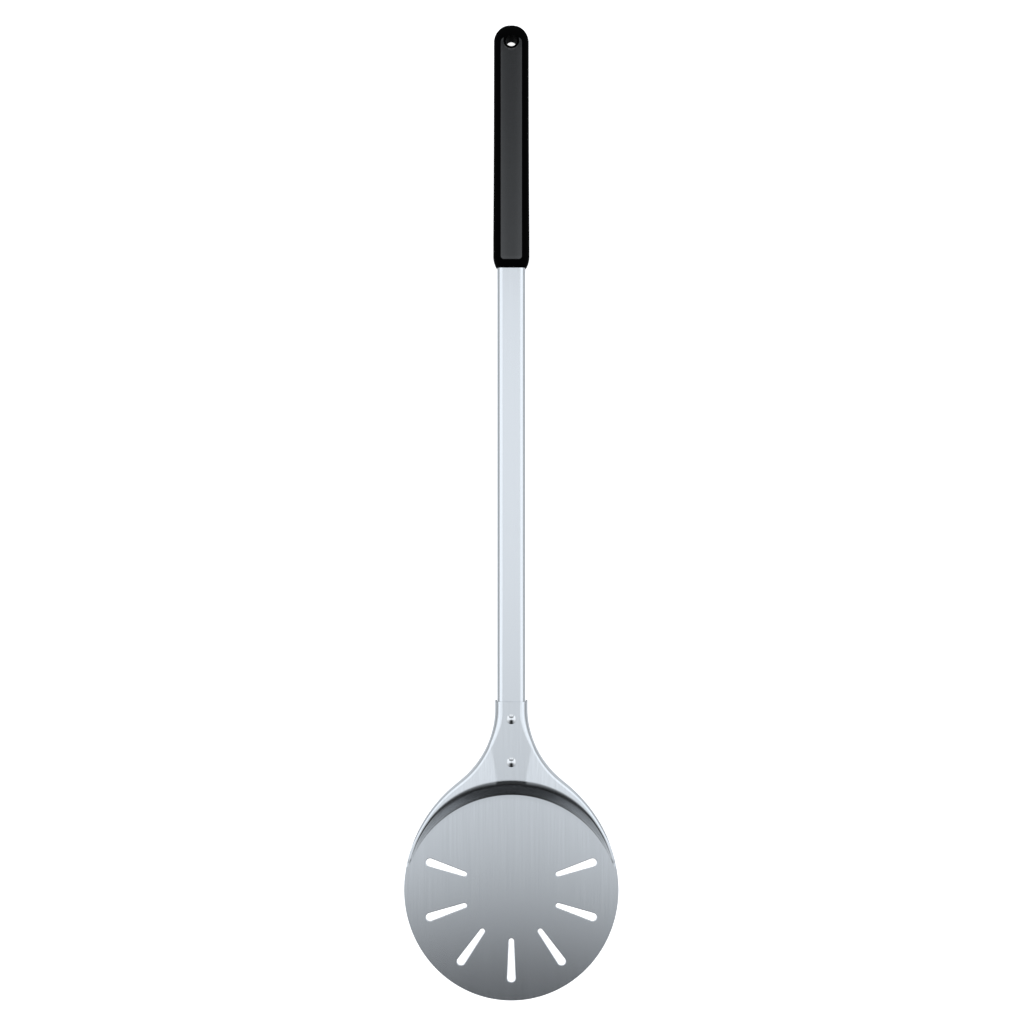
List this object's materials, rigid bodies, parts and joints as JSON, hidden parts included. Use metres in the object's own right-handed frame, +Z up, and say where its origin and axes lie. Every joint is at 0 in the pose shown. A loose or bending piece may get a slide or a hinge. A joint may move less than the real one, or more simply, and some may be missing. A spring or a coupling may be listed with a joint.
{
  "type": "pizza turning peel",
  "caption": "Long-handled turning peel: a round slotted metal blade stepped up to a neck, riveted to a rectangular tube with a moulded grip.",
  "frame": {"origin": "centre of the round blade, on its underside", "axes": "+Y along the handle towards the grip, +Z up out of the blade's cooking face, +X to the right"},
  "size_m": [0.178, 0.8056, 0.021],
  "materials": {
    "blade_aluminium": "fine lengthwise brushing, satin",
    "tube_aluminium": "satin anodised",
    "rivet_aluminium": "polished",
    "washer_steel": "bright zinc",
    "insert_nylon": "moulded",
    "grip_nylon": "smooth moulded black",
    "inlay_rubber": "fine mottled texture",
    "pin_steel": "plain"
  },
  "bodies": {
    "root": {"head": "blade_aluminium", "handle_tube": "tube_aluminium", "neck_insert": "insert_nylon", "rivet_front": "rivet_aluminium", "rivet_rear": "rivet_aluminium", "rivet_washer_front": "washer_steel", "rivet_washer_rear": "washer_steel", "grip_body": "grip_nylon", "grip_inlay_front": "inlay_rubber", "grip_inlay_back": "inlay_rubber", "grip_pin_front": "pin_steel", "grip_pin_rear": "pin_steel"}
  },
  "joints": []
}
